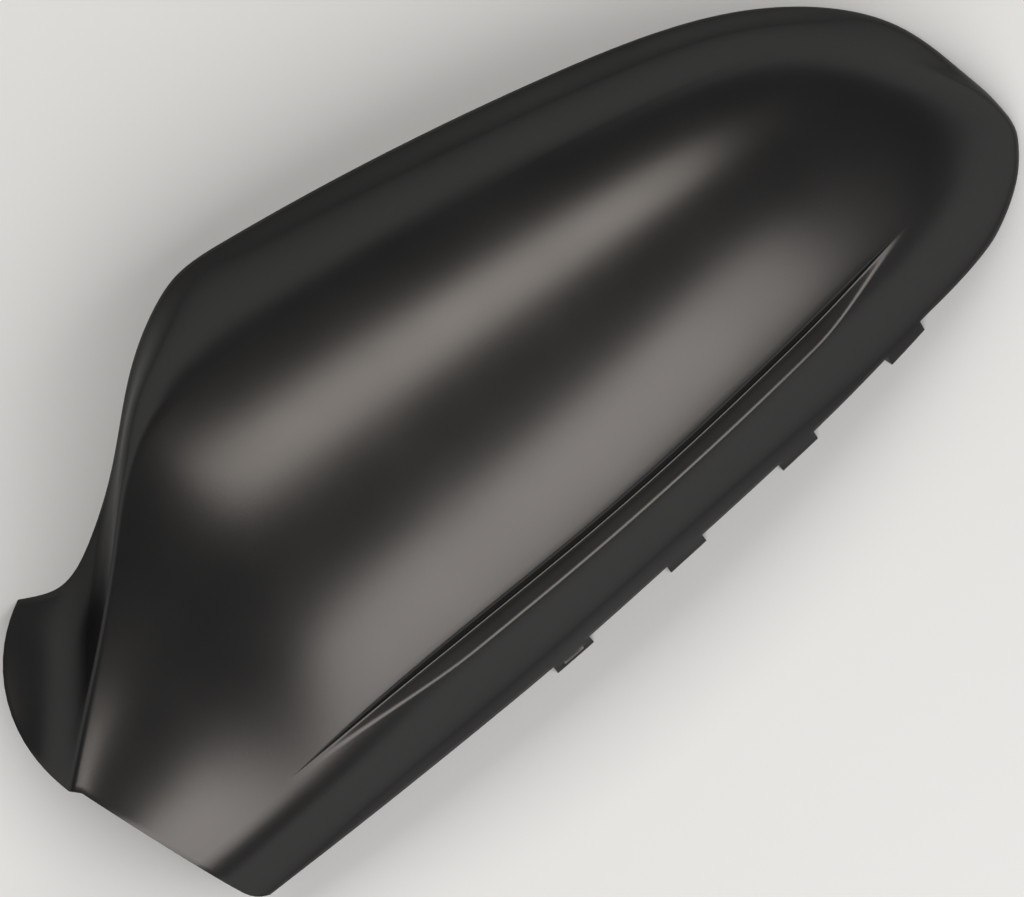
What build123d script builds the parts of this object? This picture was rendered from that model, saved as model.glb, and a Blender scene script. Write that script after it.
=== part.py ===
"""Outer cover of a car's door mirror: one moulded shell, lying on its rim with its dome up.

X runs from the inner end, next to the car, to the outer tip. Y runs up the mirror's front face.
Z runs from the rim plane, where the cover meets the mirror's housing, out to the crown of the dome.
The origin is on the rim plane, below the middle of the shell. All sizes are in millimetres.
"""
import os
from math import atan2, cos, degrees, pi, radians, sin, sqrt, tan

from build123d import *

# Overall sizes of the shell
LENGTH = 240.0
HEIGHT = 114.0
DEPTH = 55.0
WALL = 2.5

# Step between the front face and the recessed lower flange
STEP_DEPTH = 5.0
# Lower rim: how far it stands above the rim plane, how far from the tip it starts to run down to that
# plane, the length of that run, and the radius of the bend at its start
RIM_LIFT = 8.0
NOSE_RIM = 40.0
NOSE_RIM_RUN = 22.0
NOSE_RIM_RADIUS = 15.0

# Tongues that reach from the lower rim to the rim plane, counted inwards from where the rim runs down;
# the last one, nearest the inner end, has a window for a catch
TONGUE_COUNT = 4
TONGUE_WIDTH = 9.8
TONGUE_PITCH = 31.3
TONGUE_MARGIN = 0.9
WINDOW_WIDTH = 5.2
WINDOW_HEIGHT = 3.6

# Inner end: a round lip about the mirror's foot, a small notch below it, then a slanted edge
LIP_RADIUS = 30.5
LIP_HEIGHT = 54.0
NOTCH_SIZE = 1.9
END_SLANT = 19.3
# Radius, seen from the front, of the corner between the slanted edge and the lower rim
END_CORNER = 6.0

# Snap catches inside the top wall
CATCH_COUNT = 3
FIRST_CATCH = 92.0
CATCH_PITCH = 45.0
CATCH_WIDTH = 12.0
CATCH_REACH = 3.0
CATCH_HEIGHT = 6.0
CATCH_LIFT = 6.0

# Stiffening ribs across the inside of the crown
RIB_COUNT = 3
FIRST_RIB = 75.0
RIB_PITCH = 45.0
RIB_THICKNESS = 1.8
RIB_DEPTH = 9.0

# Rails of the outer skin, from the inner end to the tip: each knot is a share of the length, then a
# share of the height for the five lines seen from the front
TOP_RIM = (
    (-0.03, 0.800), (0.021, 0.755), (0.071, 0.709), (0.103, 0.683), (0.150, 0.717), (0.250, 0.884),
    (0.318, 0.978), (0.350, 0.999), (0.400, 0.994), (0.500, 0.962), (0.700, 0.873), (0.850, 0.771),
    (0.925, 0.671), (0.971, 0.556), (0.9935, 0.400), (1.0, 0.293),
)
SHOULDER = (
    (-0.03, 0.312), (0.049, 0.452), (0.165, 0.671), (0.215, 0.765), (0.255, 0.806), (0.320, 0.814),
    (0.500, 0.788), (0.750, 0.709), (0.860, 0.645), (0.940, 0.530), (0.985, 0.395), (1.0, 0.293),
)
CROWN = (
    (-0.03, 0.265), (0.083, 0.375), (0.200, 0.450), (0.350, 0.475), (0.600, 0.482), (0.800, 0.490),
    (0.900, 0.465), (0.960, 0.400), (1.0, 0.293),
)
STEP_EDGE = (
    (-0.03, 0.138), (0.190, 0.157), (0.300, 0.170), (0.500, 0.181), (0.700, 0.213), (0.850, 0.250),
    (0.940, 0.275), (1.0, 0.293),
)
LOWER_RIM = (
    (-0.03, -0.013), (0.250, -0.007), (0.420, 0.003), (0.550, 0.0215), (0.680, 0.0425), (0.810, 0.0755),
    (0.880, 0.105), (0.925, 0.135), (0.955, 0.168), (0.975, 0.200), (0.990, 0.237), (1.0, 0.293),
)
# Rise of the crown as a share of the depth, and of the shoulder and the step's edge as shares of that
CROWN_RISE = (
    (-0.03, 0.600), (0.060, 0.610), (0.125, 0.670), (0.250, 0.880), (0.340, 0.968), (0.500, 1.0),
    (0.667, 0.940), (0.833, 0.745), (0.900, 0.605), (0.950, 0.430), (0.983, 0.245), (1.0, 0.0),
)
SHOULDER_RISE = (
    (-0.03, 0.950), (0.060, 0.940), (0.165, 0.860), (0.255, 0.795), (0.400, 0.780), (1.0, 0.820),
)
STEP_RISE = ((-0.03, 0.865), (0.100, 0.845), (0.400, 0.795), (1.0, 0.780))
# Share of the lower wall, seen from the front, that the step takes up, and its fall without a step
STEP_SHARE = 0.275
STEP_FALL = 0.89

# Tilts of the skin away from the front, in degrees, up towards the top and negative downwards
LIP_TILT = 40.0
TOP_TILT = 76.0
FLANK_TILT_AT_END = 66.0
FLANK_TILT = 80.0
LEDGE_TILT = -38.0
FLUSH_TILT = -45.0
LOWER_TILT = -77.0
# Reach of a curve's end tangents, as a share of the curve's chord
TANGENT_REACH = 0.34

# Stretches of the length, as shares, over which a feature comes or goes
LIP_FLARE = (0.06, 0.20)
FLANK_STEEPENS = (0.04, 0.15)
CREASE_FADES = (0.17, 0.31)
STEP_STARTS = (0.17, 0.26)
STEP_ENDS = (0.78, 0.89)

# Stations of the sections: even along the body, closer and closer towards the blunt end of the nose
BODY_START = -0.028
NOSE_START = 0.80
NOSE_END = 0.9985
BODY_STATIONS = 24
NOSE_STATIONS = 9
# Spare depth below the rim plane that the rim is trimmed from
OUTER_SPARE = 0.5
INNER_SPARE = 2.5


def rail(knots):
    """Smooth curve through knots of a share of the length and a value."""
    with BuildLine() as line:
        Spline(*knots)
    return line.edges()[0]


def value_at(curve, share):
    """Value of a rail at a share of the length."""
    return curve.intersect(Axis((share, 0), (0, 1)))[0].Y


def ramp(share, stretch):
    """Smooth rise from 0 to 1 over a stretch of the length."""
    along = (share - stretch[0]) / (stretch[1] - stretch[0])
    along = min(max(along, 0.0), 1.0)
    return along * along * (3 - 2 * along)


top_rail = rail(TOP_RIM)
shoulder_rail = rail(SHOULDER)
crown_rail = rail(CROWN)
step_rail = rail(STEP_EDGE)
lower_rail = rail(LOWER_RIM)
crown_rise_rail = rail(CROWN_RISE)
shoulder_rise_rail = rail(SHOULDER_RISE)
step_rise_rail = rail(STEP_RISE)

# The front plane's own coordinates run from the inner end and from the lowest tongue
front = Plane(origin=(-LENGTH / 2, -HEIGHT / 2, 0))


def upward(tilt):
    """Unit step up a skin of this tilt, in a section's own plane."""
    return Vector(cos(radians(tilt)), -sin(radians(tilt)))


def inside(point, tilt_above, tilt_below, inset):
    """A section's corner, moved inwards so that both skins that meet there move by the inset."""
    middle = radians((tilt_above + tilt_below) / 2)
    mitre = inset / cos(radians((tilt_above - tilt_below) / 2))
    return point - Vector(sin(middle), cos(middle)) * mitre


def section(share, wall, spare):
    """Closed section of the skin at a share of the length, moved inwards by the wall."""
    rise = value_at(crown_rise_rail, share) * DEPTH
    step = ramp(share, STEP_STARTS) - ramp(share, STEP_ENDS)
    crease = 1 - ramp(share, CREASE_FADES)

    top = Vector(value_at(top_rail, share) * HEIGHT, -spare)
    shoulder = Vector(value_at(shoulder_rail, share) * HEIGHT, value_at(shoulder_rise_rail, share) * rise)
    crown = Vector(value_at(crown_rail, share) * HEIGHT, rise)
    edge = Vector(value_at(step_rail, share) * HEIGHT, value_at(step_rise_rail, share) * rise)
    low = Vector(value_at(lower_rail, share) * HEIGHT, -spare)
    ledge = Vector(edge.X - STEP_SHARE * (edge.X - low.X), STEP_FALL * edge.Y - STEP_DEPTH * step)

    upper_tilt = 2 * degrees(atan2(crown.Y - shoulder.Y, shoulder.X - crown.X))
    under_tilt = -2 * degrees(atan2(crown.Y - edge.Y, crown.X - edge.X))
    step_tilt = -degrees(atan2(edge.Y - ledge.Y, edge.X - ledge.X))
    neck_tilt = FLANK_TILT_AT_END + (FLANK_TILT - FLANK_TILT_AT_END) * ramp(share, FLANK_STEEPENS)
    flank_tilt = upper_tilt + (neck_tilt - upper_tilt) * crease
    rim_tilt = LIP_TILT + (TOP_TILT - LIP_TILT) * ramp(share, LIP_FLARE)
    ledge_tilt = FLUSH_TILT + (LEDGE_TILT - FLUSH_TILT) * step

    # Towards the tip the skin faces along the length, so the wall moves from the section to its station
    facing = max(0.0, 2 * share - 1) ** 2
    inset = wall * sqrt(1 - facing * facing)
    station = share * LENGTH - wall * facing
    top -= Vector(inset / sin(radians(rim_tilt)), 0)
    shoulder = inside(shoulder, flank_tilt, upper_tilt, inset)
    crown = inside(crown, 0, 0, inset)
    edge = inside(edge, under_tilt, step_tilt, inset)
    ledge = inside(ledge, step_tilt, ledge_tilt, inset)
    low -= Vector(inset / sin(radians(LOWER_TILT)), 0)

    flank_reach = TANGENT_REACH * (top - shoulder).length
    flange_reach = TANGENT_REACH * (ledge - low).length
    plane = Plane(origin=front.from_local_coords((station, 0, 0)), x_dir=(0, 1, 0), z_dir=(1, 0, 0))
    with BuildSketch(plane) as face:
        with BuildLine():
            over_flank = shoulder + upward(flank_tilt) * flank_reach
            Bezier(top, top - upward(rim_tilt) * flank_reach, over_flank, shoulder)
            TangentArc(crown, shoulder, tangent=(1, 0))
            TangentArc(crown, edge, tangent=(-1, 0))
            Line(edge, ledge)
            under_ledge = ledge - upward(ledge_tilt) * flange_reach
            Bezier(ledge, under_ledge, low + upward(LOWER_TILT) * flange_reach, low)
            Line(low, top)
        make_face()
    return face.sketch


nose_run = NOSE_END - NOSE_START
stations = [BODY_START + (NOSE_START - BODY_START) * i / BODY_STATIONS for i in range(BODY_STATIONS)]
stations += [NOSE_START + nose_run * sin(pi / 2 * i / NOSE_STATIONS) for i in range(NOSE_STATIONS + 1)]

with BuildPart() as outside:
    loft(sections=[section(share, 0, OUTER_SPARE) for share in stations])

with BuildPart() as cavity:
    loft(sections=[section(share, WALL, INNER_SPARE) for share in stations])

# Ribs and catches are rooted half-way into the wall, inside this body
with BuildPart() as root_body:
    loft(sections=[section(share, WALL / 2, OUTER_SPARE) for share in stations])

with BuildPart() as ribs:
    for i in range(RIB_COUNT):
        place = FIRST_RIB + RIB_PITCH * i
        foot = value_at(crown_rise_rail, place / LENGTH) * DEPTH - RIB_DEPTH
        with BuildSketch(front.offset(foot)):
            with Locations((place, HEIGHT / 2)):
                Rectangle(RIB_THICKNESS, HEIGHT)
        extrude(amount=RIB_DEPTH)
    add(root_body.part, mode=Mode.INTERSECT)

with BuildPart() as catches:
    for i in range(CATCH_COUNT):
        place = FIRST_CATCH + CATCH_PITCH * i
        wall_line = value_at(top_rail, place / LENGTH) * HEIGHT
        tip = wall_line - WALL - CATCH_REACH
        side = Plane(origin=front.from_local_coords((place, 0, 0)), x_dir=(0, 1, 0), z_dir=(1, 0, 0))
        with BuildSketch(side):
            with BuildLine():
                Polyline(
                    (wall_line, CATCH_LIFT),
                    (wall_line - WALL, CATCH_LIFT),
                    (tip, CATCH_LIFT + CATCH_HEIGHT - WALL / 2),
                    (tip, CATCH_LIFT + CATCH_HEIGHT),
                    (wall_line, CATCH_LIFT + CATCH_HEIGHT),
                    close=True,
                )
            make_face()
        extrude(amount=CATCH_WIDTH / 2, both=True)
    add(root_body.part, mode=Mode.INTERSECT)

with BuildPart() as mirror_cover:
    add(outside.part)
    add(cavity.part, mode=Mode.SUBTRACT)
    split(bisect_by=Plane.XY)

    # Inner end: everything outside the round lip and the slanted edge comes off
    lip_top = (LIP_RADIUS, LIP_HEIGHT + LIP_RADIUS)
    crease_end = value_at(shoulder_rail, NOTCH_SIZE / LENGTH) * HEIGHT
    lip_end = (LIP_RADIUS - sqrt(LIP_RADIUS**2 - (LIP_HEIGHT - crease_end) ** 2), crease_end)
    notch = (lip_end[0] + NOTCH_SIZE, lip_end[1] - NOTCH_SIZE)
    rim_line = value_at(lower_rail, 0) * HEIGHT + RIM_LIFT / tan(radians(-LOWER_TILT))
    corner = (notch[0] + (notch[1] - rim_line) * tan(radians(END_SLANT)), rim_line)
    past_corner = (corner[0] + 3 * END_CORNER, rim_line - OUTER_SPARE)
    with BuildSketch(front):
        with BuildLine():
            ThreePointArc(lip_top, (0, LIP_HEIGHT), lip_end)
            FilletPolyline(lip_end, notch, corner, past_corner, radius=(0, END_CORNER))
            Polyline(past_corner, (past_corner[0], -HEIGHT), (-LENGTH, -HEIGHT))
            Polyline((-LENGTH, -HEIGHT), (-LENGTH, 2 * HEIGHT), (LIP_RADIUS, 2 * HEIGHT), lip_top)
        make_face()
    extrude(amount=2 * DEPTH, mode=Mode.SUBTRACT)

    # Lower rim: lifted off the rim plane, apart from the tongues
    side = Plane(origin=front.origin, x_dir=(1, 0, 0), z_dir=(0, -1, 0))
    lift_end = LENGTH - NOSE_RIM
    last_tongue = lift_end - TONGUE_MARGIN - TONGUE_WIDTH / 2
    tongue_places = [(last_tongue - TONGUE_PITCH * i, RIM_LIFT / 2) for i in range(TONGUE_COUNT)]
    with BuildSketch(side):
        with BuildLine():
            FilletPolyline(
                (-LENGTH, -RIM_LIFT),
                (-LENGTH, RIM_LIFT),
                (lift_end, RIM_LIFT),
                (lift_end + 2 * NOSE_RIM_RUN, -RIM_LIFT),
                radius=(0, 0, NOSE_RIM_RADIUS, 0),
                close=True,
            )
        make_face()
        with Locations(*tongue_places):
            Rectangle(TONGUE_WIDTH, 4 * RIM_LIFT, mode=Mode.SUBTRACT)
    extrude(amount=HEIGHT / 4, both=True, mode=Mode.SUBTRACT)

    # Window through the tongue nearest the inner end
    with BuildSketch(side):
        with Locations(tongue_places[-1]):
            Rectangle(WINDOW_WIDTH, WINDOW_HEIGHT)
    extrude(amount=HEIGHT / 4, both=True, mode=Mode.SUBTRACT)

    add(ribs.part)
    add(catches.part)

mirror_cover.part.label = "mirror_cover"
os.makedirs("parts", exist_ok=True)
export_step(mirror_cover.part, "parts/mirror_cover.step")
print("mirror_cover", mirror_cover.part.is_valid, mirror_cover.part.bounding_box())
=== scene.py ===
# %% [markdown]
# A cover of a car's door mirror is one thin moulding in satin black plastic. It lies here on its rim with
# its dome up. X runs from the inner end, next to the car, to the outer tip, Y runs up the mirror's front
# face, and Z runs from the rim plane out to the crown. All lengths are in metres.

from math import cos, pi, radians, sin, tan

import bpy
import numpy as np
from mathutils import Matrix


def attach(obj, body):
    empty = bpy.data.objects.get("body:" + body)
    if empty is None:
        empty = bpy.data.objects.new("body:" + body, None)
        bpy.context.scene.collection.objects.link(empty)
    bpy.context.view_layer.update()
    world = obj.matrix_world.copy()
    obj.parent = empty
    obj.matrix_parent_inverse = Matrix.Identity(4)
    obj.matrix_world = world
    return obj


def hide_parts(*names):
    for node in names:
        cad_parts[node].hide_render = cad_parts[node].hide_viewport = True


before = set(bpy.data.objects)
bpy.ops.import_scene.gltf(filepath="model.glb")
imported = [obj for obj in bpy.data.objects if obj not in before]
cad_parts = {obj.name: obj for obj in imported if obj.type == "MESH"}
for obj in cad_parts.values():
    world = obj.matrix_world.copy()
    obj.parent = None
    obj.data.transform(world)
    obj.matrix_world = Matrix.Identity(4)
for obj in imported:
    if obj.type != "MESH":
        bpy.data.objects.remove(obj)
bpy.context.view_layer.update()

# %% [markdown]
# A moulded dome like this has no flat or round face to start from. Its maker draws a few long rails from
# the inner end to the tip and lets a section slide along them. A sculpted mesh could be pushed to the same
# look, but rails keep the long highlights even, so the rails come first. Each knot is a share of the
# length, then a share of the height, or of the depth for the crown's rise.

# %% Driving sizes and rails
LENGTH = 0.240
HEIGHT = 0.114
DEPTH = 0.055
WALL = 0.0025

TOP_RIM = (
    (-0.03, 0.800), (0.021, 0.755), (0.071, 0.709), (0.103, 0.683), (0.150, 0.717), (0.250, 0.884),
    (0.318, 0.978), (0.350, 0.999), (0.400, 0.994), (0.500, 0.962), (0.700, 0.873), (0.850, 0.771),
    (0.925, 0.671), (0.971, 0.556), (0.9935, 0.400), (0.9984, 0.3465), (1.0, 0.293),
)
SHOULDER = (
    (-0.03, 0.312), (0.049, 0.452), (0.165, 0.671), (0.215, 0.765), (0.255, 0.806), (0.320, 0.814),
    (0.500, 0.788), (0.750, 0.709), (0.860, 0.645), (0.940, 0.530), (0.985, 0.395), (0.9963, 0.344),
    (1.0, 0.293),
)
CROWN = (
    (-0.03, 0.265), (0.083, 0.375), (0.200, 0.450), (0.350, 0.475), (0.600, 0.482), (0.800, 0.490),
    (0.900, 0.465), (0.960, 0.400), (0.985, 0.350), (0.9963, 0.318), (1.0, 0.293),
)
STEP_EDGE = (
    (-0.03, 0.138), (0.190, 0.157), (0.300, 0.170), (0.500, 0.181), (0.700, 0.213), (0.850, 0.250),
    (0.940, 0.275), (0.985, 0.283), (0.9963, 0.285), (1.0, 0.293),
)
LOWER_RIM = (
    (-0.03, -0.013), (0.250, -0.007), (0.420, 0.003), (0.550, 0.0215), (0.680, 0.0425), (0.810, 0.0755),
    (0.880, 0.105), (0.925, 0.135), (0.955, 0.168), (0.975, 0.200), (0.990, 0.237), (0.9975, 0.265),
    (1.0, 0.293),
)
CROWN_RISE = (
    (-0.03, 0.600), (0.060, 0.610), (0.125, 0.670), (0.250, 0.880), (0.340, 0.968), (0.500, 1.0),
    (0.667, 0.940), (0.833, 0.745), (0.900, 0.605), (0.950, 0.430), (0.983, 0.245), (0.9957, 0.1225),
    (1.0, 0.0),
)
SHOULDER_RISE = (
    (-0.03, 0.950), (0.060, 0.940), (0.165, 0.860), (0.255, 0.795), (0.400, 0.780), (1.0, 0.820),
)
STEP_RISE = ((-0.03, 0.865), (0.100, 0.855), (0.400, 0.835), (1.0, 0.800))
RAIL_POINTS = 3000


def rail(knots):
    """Fine points of a smooth curve through the knots, as shares of the length and values."""
    knots = np.array(knots)
    pace = np.concatenate(([0.0], np.cumsum(np.hypot(*np.diff(knots, axis=0).T))))
    gaps = np.diff(pace)
    slopes = np.diff(knots, axis=0) / gaps[:, None]
    system = np.eye(len(knots))
    pull = np.zeros_like(knots)
    for i in range(1, len(knots) - 1):
        system[i, i - 1:i + 2] = gaps[i - 1], 2 * (gaps[i - 1] + gaps[i]), gaps[i]
        pull[i] = 6 * (slopes[i] - slopes[i - 1])
    bend = np.linalg.solve(system, pull)
    fine = np.linspace(0, pace[-1], RAIL_POINTS)
    i = np.clip(np.searchsorted(pace, fine) - 1, 0, len(gaps) - 1)
    before = ((pace[i + 1] - fine) / gaps[i])[:, None]
    after = 1 - before
    curved = (before**3 - before) * bend[i] + (after**3 - after) * bend[i + 1]
    line = before * knots[i] + after * knots[i + 1] + curved * gaps[i][:, None] ** 2 / 6
    return line[:, 0], line[:, 1]


RAILS = {
    "top": rail(TOP_RIM),
    "shoulder": rail(SHOULDER),
    "crown": rail(CROWN),
    "edge": rail(STEP_EDGE),
    "low": rail(LOWER_RIM),
    "rise": rail(CROWN_RISE),
    "shoulder_rise": rail(SHOULDER_RISE),
    "edge_rise": rail(STEP_RISE),
}


def along(name, share):
    """Value of a rail at a share of the length."""
    return np.interp(share, *RAILS[name])


print(len(RAILS), "rails; crown at mid length", round(float(along("rise", 0.5)) * DEPTH, 4))

# %% [markdown]
# Between the rails the section follows a rule: a curve from the top rim to the shoulder, an arc over each
# side of the crown, the step down to the flange, and a curve to the lower rim. At the inner end the
# shoulder is a crease, which fades along the length, and the step comes and goes. A point in a section is
# written as a complex number, with y as its real part and z as its imaginary part, because turning a
# direction is then one multiplication. The same rule with the knees moved in by the wall, at a mitre,
# gives the inner skin.

# %% The section's rule
STEP_SHARE = 0.25
FOOT_SHARE = 0.22
FLUSH_SHARE = 0.2
STEP_DEPTH = 0.005
RIM_LIFT = 0.008
NOSE_RIM = 0.040
NOSE_RIM_RUN = 0.022
NOSE_RIM_BEND = 0.12
LIP_TILT, TOP_TILT = radians(33), radians(72)
FLANK_TILT_AT_END, FLANK_TILT = radians(66), radians(80)
LEDGE_TILT, BROW_TILT, LOWER_TILT = radians(3), radians(-46), radians(-77)
TANGENT_REACH = 0.34
LIP_FLARE = (0.06, 0.20)
FLANK_STEEPENS = (0.04, 0.15)
CREASE_FADES = (0.17, 0.31)
STEP_STARTS = (0.16, 0.36)
STEP_ENDS = (0.74, 0.87)
# How far each rounding reaches from its knee, on the outer and on the inner skin
CREASE_ROUND = (0.0016, 0.0006)
EDGE_ROUND = (0.0007, 0.0004)
FOOT_ROUND = (0.0004, 0.0008)
BROW_ROUND = (0.0006, 0.0004)
# Rows of points along each stretch of the section
FLANK_ROWS, CREASE_ROWS, CROWN_ROWS, STEP_ROWS, FLANGE_ROWS = 18, 5, 24, 4, 12
# Rows of a tongue, as shares of the rim's lift; the window is between the second and the fourth
TONGUE_LEVELS = (0.8625, 0.725, 0.5, 0.275, 0.1375, 0.0)
# Rounds of halving in a search, the largest share of a stretch that a rounding takes, and a tiny length
HALVINGS = 30
ROUND_LIMIT = 0.3
TINY = 1e-9


def ramp(share, stretch):
    """Smooth rise from 0 to 1 over a stretch of the length."""
    part = np.clip((share - stretch[0]) / (stretch[1] - stretch[0]), 0, 1)
    return part * part * (3 - 2 * part)


def upward(tilt):
    """Unit step up a skin of this tilt."""
    return np.exp(-1j * tilt)


def inside(point, tilt_above, tilt_below, inset):
    """A knee of the section, moved inwards so that both skins that meet there move by the inset."""
    mitre = inset / np.cos((tilt_above - tilt_below) / 2)
    return point - 1j * upward((tilt_above + tilt_below) / 2) * mitre


def bezier(points, t):
    """Point of a cubic or quadratic Bezier curve."""
    while len(points) > 1:
        points = [a + (b - a) * t for a, b in zip(points, points[1:])]
    return points[0]


def crown_arc(crown, end, part):
    """Point of the arc that leaves the crown level and ends at a knee, with part 0 at the crown."""
    reach = end - crown
    drop = np.maximum(-reach.imag, TINY)
    radius = np.abs(reach) ** 2 / (2 * drop)
    turn = 2 * np.arctan2(drop, np.abs(reach.real)) * part
    return crown + radius * (np.sign(reach.real) * np.sin(turn) - 1j * (1 - np.cos(turn)))


def rim_lift(share):
    """Height of the lower rim above the rim plane: level, then down to the plane near the tip."""
    past = (share * LENGTH - (LENGTH - NOSE_RIM)) / NOSE_RIM_RUN
    bend = (past + NOSE_RIM_BEND) ** 2 / (4 * NOSE_RIM_BEND)
    eased = np.where(np.abs(past) < NOSE_RIM_BEND, bend, np.maximum(past, 0))
    return RIM_LIFT * np.clip(1 - eased, 0, 1)


def meet_level(curve, level):
    """Parameter at which a falling Bezier curve comes down to a level, found by halving."""
    low, high = np.zeros(level.shape), np.ones(level.shape)
    for _ in range(HALVINGS):
        middle = (low + high) / 2
        above = bezier(curve, middle).imag > level
        low, high = np.where(above, middle, low), np.where(above, high, middle)
    return (low + high) / 2


def section(share, wall):
    """Knees, tilts and moved-in station of the sections at these shares of the length."""
    rise = along("rise", share) * DEPTH
    step = ramp(share, STEP_STARTS) - ramp(share, STEP_ENDS)
    crease = 1 - ramp(share, CREASE_FADES)
    top = along("top", share) * HEIGHT + 0j
    shoulder = along("shoulder", share) * HEIGHT + 1j * along("shoulder_rise", share) * rise
    crown = along("crown", share) * HEIGHT + 1j * rise
    edge = along("edge", share) * HEIGHT + 1j * along("edge_rise", share) * rise
    low = along("low", share) * HEIGHT + 0j

    upper = 2 * np.arctan2((crown - shoulder).imag, (shoulder - crown).real)
    under = -2 * np.arctan2((crown - edge).imag, (crown - edge).real)
    run = STEP_SHARE * (edge - low).real
    flush = upward(under) * FLUSH_SHARE * run
    foot = edge - flush * FOOT_SHARE
    brow = edge - flush
    sunk_foot = edge - FOOT_SHARE * run - 1j * STEP_DEPTH
    sunk_brow = sunk_foot - upward(LEDGE_TILT) * (1 - FOOT_SHARE) * run
    foot = foot + (sunk_foot - foot) * step
    brow = brow + (sunk_brow - brow) * step
    riser = -np.arctan2((edge - foot).imag, (edge - foot).real)
    ledge = -np.arctan2((foot - brow).imag, (foot - brow).real)
    neck = FLANK_TILT_AT_END + (FLANK_TILT - FLANK_TILT_AT_END) * ramp(share, FLANK_STEEPENS)
    flank = upper + (neck - upper) * crease
    rim = LIP_TILT + (TOP_TILT - LIP_TILT) * ramp(share, LIP_FLARE)
    flange = under + (BROW_TILT - under) * step

    facing = np.maximum(0, 2 * share - 1) ** 2
    inset = wall * np.sqrt(1 - facing * facing)
    station = share * LENGTH - wall * facing
    knees = {
        "top": top - inset / np.sin(rim),
        "shoulder": inside(shoulder, flank, upper, inset),
        "crown": crown - 1j * inset,
        "edge": inside(edge, under, riser, inset),
        "foot": inside(foot, riser, ledge, inset),
        "brow": inside(brow, ledge, flange, inset),
        "low": low - inset / sin(LOWER_TILT),
    }
    return knees, {"flank": flank, "rim": rim, "flange": flange}, station


def skin(share, wall):
    """Points of the skin, one row for each place in the section, at a share of the length each."""
    side = 1 if wall else 0
    rows = iter(np.split(share, np.cumsum(ROW_COUNTS)[:-1]))

    def stretch(count, first=0.0, last=1.0):
        return np.linspace(first, last, count, endpoint=False)[:, None]

    points, stations = [], []

    def take(make, count):
        knees, tilts, station = section(next(rows), wall)
        points.append(make(knees, tilts, stretch(count)))
        stations.append(station)

    def flank_curve(k, t):
        reach = TANGENT_REACH * np.abs(k["top"] - k["shoulder"])
        over = k["shoulder"] + upward(t["flank"]) * reach
        return [k["top"], k["top"] - upward(t["rim"]) * reach, over, k["shoulder"]]

    def flange_curve(k, t):
        reach = TANGENT_REACH * np.abs(k["brow"] - k["low"])
        under = k["brow"] - upward(t["flange"]) * reach
        return [k["brow"], under, k["low"] + upward(LOWER_TILT) * reach, k["low"]]

    def held(length, whole):
        return np.minimum(length / np.maximum(whole, TINY), ROUND_LIMIT)

    def flank_end(k):
        reach = TANGENT_REACH * np.abs(k["top"] - k["shoulder"])
        return 1 - held(CREASE_ROUND[side], 3 * reach)

    def crown_start(k):
        return 1 - held(CREASE_ROUND[side], np.abs(k["crown"] - k["shoulder"]))

    def crown_end(k):
        return 1 - held(EDGE_ROUND[side], np.abs(k["crown"] - k["edge"]))

    def between(first, last, first_round, last_round):
        whole = np.abs(last - first)
        start = first + (last - first) * held(first_round[side], whole)
        return start, last + (first - last) * held(last_round[side], whole)

    def riser_ends(k):
        return between(k["edge"], k["foot"], EDGE_ROUND, FOOT_ROUND)

    def ledge_ends(k):
        return between(k["foot"], k["brow"], FOOT_ROUND, BROW_ROUND)

    def flange_start(k):
        reach = TANGENT_REACH * np.abs(k["brow"] - k["low"])
        return held(BROW_ROUND[side], 3 * reach)

    def flank_points(k, t, u):
        return bezier(flank_curve(k, t), u * flank_end(k))

    def crease_points(k, t, u):
        first = bezier(flank_curve(k, t), flank_end(k))
        last = crown_arc(k["crown"], k["shoulder"], crown_start(k))
        return bezier([first, k["shoulder"], last], u)

    def upper_points(k, t, u):
        return crown_arc(k["crown"], k["shoulder"], crown_start(k) * (1 - u))

    def under_points(k, t, u):
        return crown_arc(k["crown"], k["edge"], crown_end(k) * u)

    def edge_points(k, t, u):
        return bezier([crown_arc(k["crown"], k["edge"], crown_end(k)), k["edge"], riser_ends(k)[0]], u)

    def riser_points(k, t, u):
        return bezier(riser_ends(k), u)

    def foot_points(k, t, u):
        return bezier([riser_ends(k)[1], k["foot"], ledge_ends(k)[0]], u)

    def ledge_points(k, t, u):
        return bezier(ledge_ends(k), u)

    def brow_points(k, t, u):
        return bezier([ledge_ends(k)[1], k["brow"], bezier(flange_curve(k, t), flange_start(k))], u)

    makers = [
        flank_points, crease_points, upper_points, under_points,
        edge_points, riser_points, foot_points, ledge_points, brow_points,
    ]
    for make, count in zip(makers, ROW_COUNTS):
        take(make, count)

    flange_shares = next(rows)
    knees, tilts, station = section(flange_shares, wall)
    curve = flange_curve(knees, tilts)
    start = flange_start(knees)
    end = meet_level(curve, rim_lift(flange_shares))
    u = np.linspace(0, 1, FLANGE_ROWS)[:, None]
    points.append(bezier(curve, start + (end - start) * u))
    stations.append(station)

    tongue_shares = next(rows)
    knees, tilts, station = section(tongue_shares, wall)
    curve = flange_curve(knees, tilts)
    levels = np.array(TONGUE_LEVELS)[:, None] * rim_lift(tongue_shares)
    points.append(bezier(curve, meet_level(curve, levels)))
    stations.append(station)
    return np.concatenate(stations), np.concatenate(points)


ROW_COUNTS = [
    FLANK_ROWS, CREASE_ROWS, CROWN_ROWS, CROWN_ROWS,
    STEP_ROWS, STEP_ROWS, STEP_ROWS, STEP_ROWS, STEP_ROWS,
    FLANGE_ROWS, len(TONGUE_LEVELS),
]
print(sum(ROW_COUNTS), "rows in a section")

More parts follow.
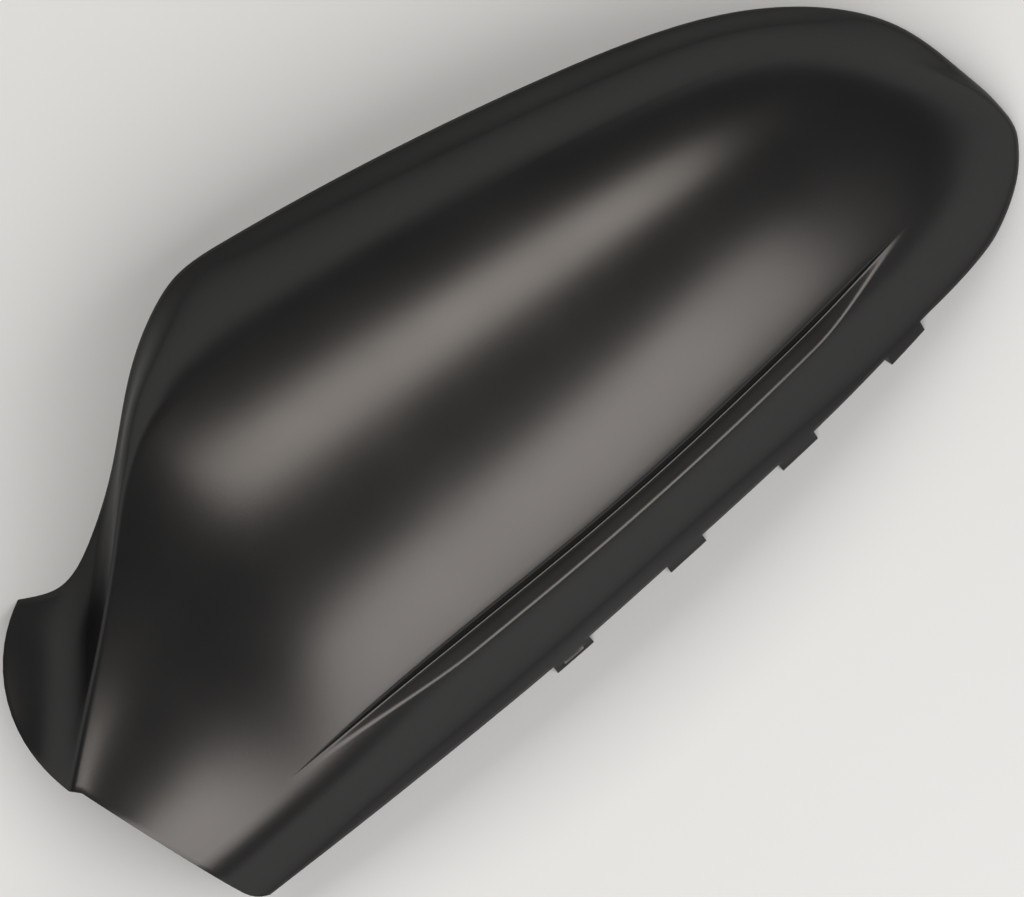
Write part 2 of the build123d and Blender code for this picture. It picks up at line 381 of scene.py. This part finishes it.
# %% [markdown]
# Seen from the front, the inner end is a round lip about the mirror's foot, a small notch where the crease
# runs out, and a slanted edge with a rounded lower corner. A Boolean cut would leave a ragged band of odd
# faces along that outline. Here each row of the skin simply starts where it meets the outline, so the
# faces stay clean quads right up to the edge.

# %% Outline of the inner end
LIP_RADIUS = 0.0305
LIP_HEIGHT = 0.054
NOTCH_SIZE = 0.0019
END_SLANT = radians(19.3)
END_CORNER = 0.006
START_SEARCH = (-0.028, 0.16)

crease_end = float(along("shoulder", NOTCH_SIZE / LENGTH)) * HEIGHT
notch_x = LIP_RADIUS - (LIP_RADIUS**2 - (LIP_HEIGHT - crease_end) ** 2) ** 0.5 + NOTCH_SIZE
notch_y = crease_end - NOTCH_SIZE
rim_line = float(along("low", 0)) * HEIGHT + RIM_LIFT / tan(-LOWER_TILT)
corner_reach = END_CORNER * tan((pi / 2 - END_SLANT) / 2)
corner_x = notch_x + (notch_y - rim_line) * tan(END_SLANT)
corner_top = rim_line + corner_reach * cos(END_SLANT)


def end_outline(y):
    """Distance of the end's outline from the inner end, at a height in the front view."""
    lip = LIP_RADIUS - np.sqrt(np.maximum(LIP_RADIUS**2 - (y - LIP_HEIGHT) ** 2, 0))
    notch = notch_x - (y - notch_y)
    slant = notch_x + (notch_y - y) * tan(END_SLANT)
    rise = np.clip(y - rim_line, 0, END_CORNER)
    corner = corner_x + corner_reach - np.sqrt(END_CORNER**2 - (END_CORNER - rise) ** 2)
    outline = np.where(y > crease_end, lip, np.where(y > notch_y, notch, slant))
    return np.where(y < corner_top, corner, outline)


def row_starts(wall):
    """Share of the length at which each row of the skin meets the outline, found by halving."""
    low = np.full((sum(ROW_COUNTS), 1), START_SEARCH[0])
    high = np.full_like(low, START_SEARCH[1])
    for _ in range(HALVINGS):
        middle = (low + high) / 2
        stations, points = skin(middle, wall)
        before = stations < end_outline(points.real)
        low, high = np.where(before, middle, low), np.where(before, high, middle)
    return (low + high) / 2


starts = row_starts(0) * LENGTH
print("rows start from", round(starts.min(), 4), "to", round(starts.max(), 4))

# %% [markdown]
# The columns of the skin are even along the body and close up towards the tip. The edges of the tongues
# and of the window in the inner tongue get columns of their own. The cells between tongues, and those in
# the window, are simply left out. The skin keeps, for each point, the way to the inner skin as an attribute.

# %% Outer skin as a grid of quads
TONGUE_COUNT = 4
TONGUE_WIDTH = 0.0098
TONGUE_PITCH = 0.0313
TONGUE_MARGIN = 0.0009
WINDOW_WIDTH = 0.0052
COLUMN_PITCH = 0.0012
NOSE_END = 0.9996
NOSE_COLUMNS = 44
SHIFT_FADES = 0.33

last_tongue = LENGTH - NOSE_RIM - TONGUE_MARGIN - TONGUE_WIDTH / 2
tongue_places = [last_tongue - TONGUE_PITCH * i for i in range(TONGUE_COUNT)]
tongue_edges = [(place - TONGUE_WIDTH / 2, place + TONGUE_WIDTH / 2) for place in tongue_places]
window_edges = (tongue_places[-1] - WINDOW_WIDTH / 2, tongue_places[-1] + WINDOW_WIDTH / 2)

marks = sorted({0.0, *window_edges, *(x for pair in tongue_edges for x in pair)})
columns = []
for first, last in zip(marks, marks[1:]):
    count = max(1, round((last - first) / COLUMN_PITCH))
    columns += [first + (last - first) * i / count for i in range(count)]
nose_run = NOSE_END * LENGTH - marks[-1]
columns += [marks[-1] + nose_run * sin(pi / 2 * i / NOSE_COLUMNS) for i in range(NOSE_COLUMNS + 1)]
columns = np.array(columns)


def skin_grid(wall):
    """Points of a whole skin in the row frame, with rows along the length."""
    starts = row_starts(wall)
    fade = 1 - ramp(columns / LENGTH, (0, SHIFT_FADES))
    shares = columns[None, :] / LENGTH + starts * fade[None, :]
    stations, points = skin(shares, wall)
    return np.stack((stations - LENGTH / 2, points.real - HEIGHT / 2, points.imag), axis=-1)


outer_grid = skin_grid(0)
inner_grid = skin_grid(WALL)
tip = np.array((LENGTH / 2, (TOP_RIM[-1][1] - 0.5) * HEIGHT, 0.0))
inner_tip = tip - (WALL, 0, 0)

row_count, column_count = outer_grid.shape[:2]
rim_row = row_count - len(TONGUE_LEVELS) - 1
cells = np.ones((row_count - 1, column_count - 1), bool)
cells[rim_row:] = False
middles = (columns[:-1] + columns[1:]) / 2
for first, last in tongue_edges:
    cells[rim_row:, (middles > first) & (middles < last)] = True
in_window = (middles > window_edges[0]) & (middles < window_edges[1])
cells[rim_row + 2:rim_row + 4, in_window] = False

numbers = np.arange(row_count * column_count).reshape(row_count, column_count)
pole = row_count * column_count
quads = np.stack((numbers[:-1, :-1], numbers[1:, :-1], numbers[1:, 1:], numbers[:-1, 1:]), axis=-1)[cells]
faces = [tuple(quad) for quad in quads.tolist()]
faces += [(int(numbers[i, -1]), int(numbers[i + 1, -1]), pole) for i in range(rim_row)]

outer_points = np.vstack((outer_grid.reshape(-1, 3), tip))
inner_points = np.vstack((inner_grid.reshape(-1, 3), inner_tip))
used = np.unique(np.concatenate([np.array(face) for face in faces]))
renumber = np.full(len(outer_points), -1)
renumber[used] = np.arange(len(used))
faces = [tuple(int(renumber[i]) for i in face) for face in faces]

skin_mesh = bpy.data.meshes.new("cover_skin")
skin_mesh.from_pydata(outer_points[used].tolist(), [], faces)
inward = skin_mesh.attributes.new("inward", "FLOAT_VECTOR", "POINT")
inward.data.foreach_set("vector", ((inner_points - outer_points)[used] / WALL).astype(np.float32).ravel())
skin_mesh.validate()
skin_mesh.update()
print("skin", len(skin_mesh.vertices), "points", len(skin_mesh.polygons), "faces",
      "mean normal", round(sum(p.normal.z * p.area for p in skin_mesh.polygons), 6))

# %% [markdown]
# The rest is built from nodes: the wall, the ribs and the catches as Geometry Nodes trees, and the finishes
# as shader nodes. Wiring them socket by socket takes many lines, so three helpers do it: one opens a tree
# with named inputs, one adds a node with its links, and one runs a tree on a mesh and keeps the result.

# %% Helpers for node trees
def new_tree(name, inputs):
    """Geometry Nodes tree with a geometry socket each way and more named inputs."""
    tree = bpy.data.node_groups.new(name, "GeometryNodeTree")
    tree.interface.new_socket("Geometry", in_out="INPUT", socket_type="NodeSocketGeometry")
    tree.interface.new_socket("Geometry", in_out="OUTPUT", socket_type="NodeSocketGeometry")
    for label, kind in inputs.items():
        tree.interface.new_socket(label, in_out="INPUT", socket_type="NodeSocket" + kind)
    return tree, tree.nodes.new("NodeGroupInput").outputs, tree.nodes.new("NodeGroupOutput").inputs


def node(tree, kind, settings=None, **inputs):
    """A node of a tree, with its settings, and its inputs as values or as sockets to link."""
    made = tree.nodes.new(kind)
    for key, value in (settings or {}).items():
        setattr(made, key, value)
    for key, value in inputs.items():
        socket = made.inputs[int(key[1:])] if key[1:].isdigit() else made.inputs[key.replace("_", " ")]
        if isinstance(value, bpy.types.NodeSocket):
            tree.links.new(value, socket)
        else:
            socket.default_value = value
    return made.outputs


def grown(name, start_mesh, tree, values):
    """Plain mesh object of what a tree makes of a mesh, with the tree's inputs set by identifier."""
    blank = bpy.data.objects.new(name + "_blank", start_mesh)
    bpy.context.scene.collection.objects.link(blank)
    modifier = blank.modifiers.new(name, "NODES")
    modifier.node_group = tree
    for item in tree.interface.items_tree:
        if item.in_out == "INPUT" and item.name in values:
            modifier[item.identifier] = values[item.name]
    ready = blank.evaluated_get(bpy.context.evaluated_depsgraph_get())
    made = bpy.data.objects.new(name, bpy.data.meshes.new_from_object(ready))
    bpy.context.scene.collection.objects.link(made)
    bpy.data.objects.remove(blank)
    print(name, len(made.data.vertices), "points", len(made.data.polygons), "faces")
    return made


# %% [markdown]
# The cover is moulded in black plastic against a lightly grained tool, so it is satin: long lamps show as
# soft bands, and walls that are seen at a slant lose their gloss in the grain. One noise varies the gloss
# and the colour a little over some centimetres, as flow in the tool does. A much finer noise is the grain,
# as a bump. Both use the object's own coordinates, so they stay on the plastic and need no unwrapping.

# %% Satin black plastic
PLASTIC_DARK = (0.0045, 0.0047, 0.0050, 1)
PLASTIC_PALE = (0.0075, 0.0077, 0.0080, 1)
PLASTIC_IOR = 1.3
PLASTIC_SHINE = (4.2, 4.2, 4.2, 1)
FLOW_SCALE, GRAIN_SCALE = 35.0, 1800.0
GRAIN_DEPTH, GRAIN_STRENGTH = 0.0001, 0.08
SATIN_MIN, SATIN_MAX = 0.28, 0.33
GLOSS_FACING, GLOSS_AT_SLANT = 0.5, 0.022
SLANT_START, SLANT_END = 0.05, 0.73

plastic = bpy.data.materials.new("satin_black_plastic")
plastic.use_nodes = True
paint = plastic.node_tree
place = node(paint, "ShaderNodeTexCoord")["Object"]
flow = node(paint, "ShaderNodeTexNoise", Vector=place, Scale=FLOW_SCALE, Detail=3.0)["Fac"]
grain = node(paint, "ShaderNodeTexNoise", Vector=place, Scale=GRAIN_SCALE, Detail=2.0)["Fac"]
colour = node(paint, "ShaderNodeMix", {"data_type": "RGBA"}, i0=flow, i6=PLASTIC_DARK, i7=PLASTIC_PALE)
satin = node(paint, "ShaderNodeMapRange", Value=flow, From_Min=0.3, From_Max=0.7,
             To_Min=SATIN_MIN, To_Max=SATIN_MAX)
slant = node(paint, "ShaderNodeLayerWeight", Blend=0.5)["Facing"]
gloss = node(paint, "ShaderNodeMapRange", Value=slant, From_Min=SLANT_START, From_Max=SLANT_END,
             To_Min=GLOSS_FACING, To_Max=GLOSS_AT_SLANT)
bump = node(paint, "ShaderNodeBump", Height=grain, Strength=GRAIN_STRENGTH, Distance=GRAIN_DEPTH)

shader = paint.nodes["Principled BSDF"]
shader.inputs["IOR"].default_value = PLASTIC_IOR
shader.inputs["Specular Tint"].default_value = PLASTIC_SHINE
paint.links.new(colour[2], shader.inputs["Base Color"])
paint.links.new(satin[0], shader.inputs["Roughness"])
paint.links.new(gloss[0], shader.inputs["Specular IOR Level"])
paint.links.new(bump[0], shader.inputs["Normal"])
print("plastic with", len(paint.nodes), "nodes")

# %% [markdown]
# The wall is what makes a cover out of a skin. The Solidify modifier would fold over itself along the crease
# and the step, where the wall is thicker than the rounding, so a small Geometry Nodes tree does the work. It
# extrudes the whole skin without moving it, moves the new faces along the stored way inwards, and turns
# them round. The sides that the extrusion leaves are the rims, the tongues' edges and the window's reveal.

# %% Wall tree
SHARP_TURN = radians(40)
WELD = 1e-6
RIM_SHARE = 0.1

wall_tree, given, result = new_tree("moulded_wall", {"Wall": "Float", "Material": "Material"})
way = node(wall_tree, "GeometryNodeInputNamedAttribute", {"data_type": "FLOAT_VECTOR"}, Name="inward")
move = node(wall_tree, "ShaderNodeVectorMath", {"operation": "SCALE"}, i0=way[0], Scale=given["Wall"])
lining = node(wall_tree, "GeometryNodeExtrudeMesh", Mesh=given["Geometry"], Offset_Scale=0.0,
              Individual=False)
marked = node(wall_tree, "GeometryNodeStoreNamedAttribute", {"data_type": "FLOAT", "domain": "FACE"},
              Geometry=lining["Mesh"], Name="rim", Value=lining["Side"])
moved = node(wall_tree, "GeometryNodeSetPosition", Geometry=marked[0], Selection=lining["Top"],
             Offset=move[0])
turned = node(wall_tree, "GeometryNodeFlipFaces", Mesh=moved[0])
both = wall_tree.nodes.new("GeometryNodeJoinGeometry")
wall_tree.links.new(turned[0], both.inputs[0])
wall_tree.links.new(given["Geometry"], both.inputs[0])
welded = node(wall_tree, "GeometryNodeMergeByDistance", Geometry=both.outputs[0], Distance=WELD)
rim = node(wall_tree, "GeometryNodeInputNamedAttribute", {"data_type": "FLOAT"}, Name="rim")
turn = node(wall_tree, "GeometryNodeInputMeshEdgeAngle")
at_rim = node(wall_tree, "ShaderNodeMath", {"operation": "GREATER_THAN"}, i0=rim[0], i1=RIM_SHARE)
is_sharp = node(wall_tree, "ShaderNodeMath", {"operation": "GREATER_THAN"}, i0=turn[0], i1=SHARP_TURN)
weight = node(wall_tree, "ShaderNodeMath", {"operation": "MULTIPLY"}, i0=at_rim[0], i1=is_sharp[0])
weighted = node(wall_tree, "GeometryNodeStoreNamedAttribute", {"data_type": "FLOAT", "domain": "EDGE"},
                Geometry=welded[0], Name="bevel_weight_edge", Value=weight[0])
smooth = node(wall_tree, "GeometryNodeSetShadeSmooth", Geometry=weighted[0])
real = node(wall_tree, "GeometryNodeRealizeInstances", Geometry=smooth[0])
painted = node(wall_tree, "GeometryNodeSetMaterial", Geometry=real[0], Material=given["Material"])
wall_tree.links.new(painted[0], result["Geometry"])

cover = grown("mirror_cover_shell", skin_mesh, wall_tree, {"Wall": WALL, "Material": plastic})

# %% [markdown]
# A moulding has no knife edge. The tree above gave a bevel weight to each edge where a rim turns sharply, so
# a Bevel modifier rounds the rims, the tongues and the window, and leaves the smooth skins alone.

# %% Soft rims
RIM_ROUND = 0.0004

bevel = cover.modifiers.new("soft_rims", "BEVEL")
bevel.limit_method = "WEIGHT"
bevel.width = RIM_ROUND
bevel.segments = 2
print("rims rounded by", RIM_ROUND)

# %% [markdown]
# Thin ribs stiffen the inside of the crown. They are equal and evenly spaced, and each follows the skin, so
# Geometry Nodes makes them: a thin upright strip is set on each point of a line, and rays find the shell
# above it and beside it. The strip is stretched between those hits and rooted a little way into the wall.

# %% Ribs inside the crown
RIB_COUNT, FIRST_RIB, RIB_PITCH = 3, 0.075 - LENGTH / 2, 0.045
RIB_THICKNESS, RIB_DEPTH, ROOT = 0.0018, 0.009, 0.0012
RIB_POINTS = 48
RAY_LENGTH = 0.2
RAY_START = 0.001
SKIN_GAP = 1e-5

rib_inputs = {"Shell": "Object", "Count": "Int", "First": "Float", "Pitch": "Float", "Thickness": "Float",
              "Depth": "Float", "Root": "Float", "Material": "Material"}
rib_tree, given, result = new_tree("crown_ribs", rib_inputs)


def reckon(tree, operation, first, second):
    """Socket of a sum, product or comparison of two numbers or sockets."""
    return node(tree, "ShaderNodeMath", {"operation": operation}, i0=first, i1=second)[0]


def point(tree, x, y, z):
    """Vector of three numbers or sockets."""
    return node(tree, "ShaderNodeCombineXYZ", X=x, Y=y, Z=z)[0]


def shell_hit(tree, shell, origin, direction):
    """Sockets of x, y and z where a ray meets the shell, and of the shell's normal there."""
    hit = node(tree, "GeometryNodeRaycast", Target_Geometry=shell, Source_Position=origin,
               Ray_Direction=direction, Ray_Length=RAY_LENGTH)
    return node(tree, "ShaderNodeSeparateXYZ", Vector=hit["Hit Position"]), hit["Hit Normal"]


shell = node(rib_tree, "GeometryNodeObjectInfo", Object=given["Shell"])["Geometry"]
size = point(rib_tree, given["Thickness"], 1.0, 1.0)
strip = node(rib_tree, "GeometryNodeMeshCube", Size=size, Vertices_X=2, Vertices_Y=RIB_POINTS, Vertices_Z=2)
line = node(rib_tree, "GeometryNodeMeshLine", Count=given["Count"], Start_Location=point(
    rib_tree, given["First"], 0.0, 0.0), Offset=point(rib_tree, given["Pitch"], 0.0, 0.0))
strips = node(rib_tree, "GeometryNodeInstanceOnPoints", Points=line[0], Instance=strip[0])
strips = node(rib_tree, "GeometryNodeRealizeInstances", Geometry=strips[0])
at = node(rib_tree, "ShaderNodeSeparateXYZ", Vector=node(rib_tree, "GeometryNodeInputPosition")[0])
crown_hit, _ = shell_hit(rib_tree, shell, point(rib_tree, at["X"], 0.0, RAY_START), (0, 0, 1))
foot_level = reckon(rib_tree, "SUBTRACT", reckon(rib_tree, "ADD", crown_hit["Z"], WALL), given["Depth"])
beside = point(rib_tree, at["X"], 0.0, foot_level)
low_hit, _ = shell_hit(rib_tree, shell, beside, (0, -1, 0))
high_hit, _ = shell_hit(rib_tree, shell, beside, (0, 1, 0))
across = node(rib_tree, "ShaderNodeMapRange", Value=at["Y"], From_Min=-0.5, From_Max=0.5,
              To_Min=reckon(rib_tree, "ADD", low_hit["Y"], SKIN_GAP),
              To_Max=reckon(rib_tree, "SUBTRACT", high_hit["Y"], SKIN_GAP))[0]
above, _ = shell_hit(rib_tree, shell, point(rib_tree, at["X"], across, foot_level), (0, 0, 1))
rib_top = reckon(rib_tree, "ADD", above["Z"], given["Root"])
is_top = reckon(rib_tree, "GREATER_THAN", at["Z"], 0.0)
rib_level = node(rib_tree, "ShaderNodeMapRange", Value=is_top, To_Min=foot_level, To_Max=rib_top)[0]
spread = reckon(rib_tree, "MULTIPLY", reckon(rib_tree, "MULTIPLY", at["Y"], 2.0), given["Root"])
rooted = point(rib_tree, at["X"], reckon(rib_tree, "ADD", across, spread), rib_level)
shaped = node(rib_tree, "GeometryNodeSetPosition", Geometry=strips[0], Position=rooted)
real = node(rib_tree, "GeometryNodeRealizeInstances", Geometry=shaped[0])
painted = node(rib_tree, "GeometryNodeSetMaterial", Geometry=real[0], Material=given["Material"])
rib_tree.links.new(painted[0], result["Geometry"])

ribs = grown("crown_ribs", bpy.data.meshes.new("rib_blank"), rib_tree, {
    "Shell": cover, "Count": RIB_COUNT, "First": FIRST_RIB, "Pitch": RIB_PITCH, "Thickness": RIB_THICKNESS,
    "Depth": RIB_DEPTH, "Root": ROOT, "Material": plastic})

# %% [markdown]
# Snap catches along the inside of the top wall hold the cover on its housing. One catch is a plain block
# with a sloped lead-in below and a square shoulder above. The nodes set it on a row of points, push each
# point out to the wall with a ray, and turn the catch to face away from the wall it stands on.

# %% Snap catches
CATCH_COUNT, FIRST_CATCH, CATCH_PITCH = 3, 0.092 - LENGTH / 2, 0.045
CATCH_WIDTH, CATCH_REACH, CATCH_HEIGHT, CATCH_LIFT = 0.012, 0.003, 0.006, 0.006

profile = [(ROOT, 0), (0, 0), (-CATCH_REACH, CATCH_HEIGHT - WALL / 2), (-CATCH_REACH, CATCH_HEIGHT),
           (ROOT, CATCH_HEIGHT)]
corners = [(x, y, z) for x in (-CATCH_WIDTH / 2, CATCH_WIDTH / 2) for y, z in profile]
count = len(profile)
sides = [(i, i + count, (i + 1) % count + count, (i + 1) % count) for i in range(count)]
catch_mesh = bpy.data.meshes.new("catch")
catch_mesh.from_pydata(corners, [], [tuple(range(count)), tuple(reversed(range(count, 2 * count))), *sides])

catch_inputs = {"Shell": "Object", "Count": "Int", "First": "Float", "Pitch": "Float", "Lift": "Float",
                "Middle": "Float", "Material": "Material"}
catch_tree, given, result = new_tree("snap_catches", catch_inputs)
shell = node(catch_tree, "GeometryNodeObjectInfo", Object=given["Shell"])["Geometry"]
line = node(catch_tree, "GeometryNodeMeshLine", Count=given["Count"], Start_Location=point(
    catch_tree, given["First"], 0.0, 0.0), Offset=point(catch_tree, given["Pitch"], 0.0, 0.0))
at = node(catch_tree, "ShaderNodeSeparateXYZ", Vector=node(catch_tree, "GeometryNodeInputPosition")[0])
wall_hit, normal = shell_hit(catch_tree, shell, point(catch_tree, at["X"], 0.0, given["Middle"]), (0, 1, 0))
seat = point(catch_tree, at["X"], wall_hit["Y"], given["Lift"])
outward = node(catch_tree, "ShaderNodeVectorMath", {"operation": "SCALE"}, i0=normal, Scale=-1.0)
kept = node(catch_tree, "GeometryNodeStoreNamedAttribute", {"data_type": "FLOAT_VECTOR"},
            Geometry=line[0], Name="outward", Value=outward[0])
seats = node(catch_tree, "GeometryNodeSetPosition", Geometry=kept[0], Position=seat)
facing = node(catch_tree, "GeometryNodeInputNamedAttribute", {"data_type": "FLOAT_VECTOR"}, Name="outward")
turned = node(catch_tree, "FunctionNodeAlignRotationToVector", {"axis": "Y", "pivot_axis": "Z"},
              Vector=facing[0])
catch_row = node(catch_tree, "GeometryNodeInstanceOnPoints", Points=seats[0], Instance=given["Geometry"],
                 Rotation=turned[0])
real = node(catch_tree, "GeometryNodeRealizeInstances", Geometry=catch_row[0])
painted = node(catch_tree, "GeometryNodeSetMaterial", Geometry=real[0], Material=given["Material"])
catch_tree.links.new(painted[0], result["Geometry"])

catches = grown("snap_catches", catch_mesh, catch_tree, {
    "Shell": cover, "Count": CATCH_COUNT, "First": FIRST_CATCH, "Pitch": CATCH_PITCH, "Lift": CATCH_LIFT,
    "Middle": CATCH_LIFT + CATCH_HEIGHT / 2, "Material": plastic})

# %% [markdown]
# The cover lies on a pale floor under two long soft boxes, one on each side, which give the two bands along
# the front face with a dark band between them. The world is a weak fill. The floor is pale by its own
# colour, with a faint cloudiness, and takes the cover's soft shadow.

# %% Studio
FLOOR_SIZE = 12.0
FLOOR_DULL = (0.72, 0.765, 0.79, 1)
FLOOR_PALE = (0.75, 0.795, 0.82, 1)
FLOOR_ROUGHNESS = 0.9
CLOUD_SCALE = 3.0
WORLD_STRENGTH = 0.12
LAMP_DISTANCE = 0.8

floor_mesh = bpy.data.meshes.new("floor")
half = FLOOR_SIZE / 2
floor_corners = [(-half, -half, 0), (half, -half, 0), (half, half, 0), (-half, half, 0)]
floor_mesh.from_pydata(floor_corners, [], [(0, 1, 2, 3)])
floor = bpy.data.objects.new("floor", floor_mesh)
bpy.context.scene.collection.objects.link(floor)
floor_paint = bpy.data.materials.new("pale_floor")
floor_paint.use_nodes = True
floor_shader = floor_paint.node_tree.nodes["Principled BSDF"]
floor_shader.inputs["Roughness"].default_value = FLOOR_ROUGHNESS
paint = floor_paint.node_tree
place = node(paint, "ShaderNodeTexCoord")["Object"]
cloud = node(paint, "ShaderNodeTexNoise", Vector=place, Scale=CLOUD_SCALE)["Fac"]
pale = node(paint, "ShaderNodeMix", {"data_type": "RGBA"}, i0=cloud, i6=FLOOR_DULL, i7=FLOOR_PALE)
paint.links.new(pale[2], floor_shader.inputs["Base Color"])
floor_mesh.materials.append(floor_paint)

world = bpy.data.worlds.new("studio")
world.use_nodes = True
world.node_tree.nodes["Background"].inputs["Color"].default_value = (1, 1, 1, 1)
world.node_tree.nodes["Background"].inputs["Strength"].default_value = WORLD_STRENGTH
bpy.context.scene.world = world


def strip_lamp(name, lean, size, power, colour, centre_x):
    """Long soft lamp above the cover, leaning over it from one side, in line with its length."""
    data = bpy.data.lights.new(name, "AREA")
    data.shape = "RECTANGLE"
    data.size, data.size_y = size
    data.energy = power
    data.color = colour
    lamp = bpy.data.objects.new(name, data)
    lamp.location = (centre_x, LAMP_DISTANCE * sin(lean), LAMP_DISTANCE * cos(lean))
    lamp.rotation_euler = (-lean, 0, 0)
    bpy.context.scene.collection.objects.link(lamp)
    print(name, power, "W")


strip_lamp("upper_box", radians(32), (1.04, 0.33), 3.75, (1.0, 0.91, 0.84), 0.01)
strip_lamp("lower_box", radians(-42), (1.12, 0.56), 6.2, (1.0, 0.92, 0.87), -0.01)

# %% [markdown]
# The cover is seen square on to its front, from far enough away that its sides hardly show, and the picture
# is rolled so that the cover's length runs down to the right.

# %% Camera
PHOTO_WIDTH = 0.2119
PHOTO_CENTRE = (-0.0035, -0.0143)
PHOTO_ROLL = radians(-38)
CAMERA_HEIGHT = 2.2
OUTLINE_LEVEL = 0.004

camera_data = bpy.data.cameras.new("camera")
camera_data.sensor_width = 36
camera_data.lens = camera_data.sensor_width * (CAMERA_HEIGHT - OUTLINE_LEVEL) / PHOTO_WIDTH
camera = bpy.data.objects.new("camera", camera_data)
camera.location = (*PHOTO_CENTRE, CAMERA_HEIGHT)
camera.rotation_euler = (0, 0, PHOTO_ROLL)
bpy.context.scene.collection.objects.link(camera)
bpy.context.scene.camera = camera
bpy.context.scene.view_settings.view_transform = "Standard"
print("lens", round(camera_data.lens, 1), "mm")

# %% [markdown]
# The shell, its ribs and its catches are one moulding, so all three ride on the one body, and the shell
# takes the place of its plain model.

# %% Hand over
for piece in (cover, ribs, catches):
    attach(piece, "root")
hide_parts("mirror_cover")
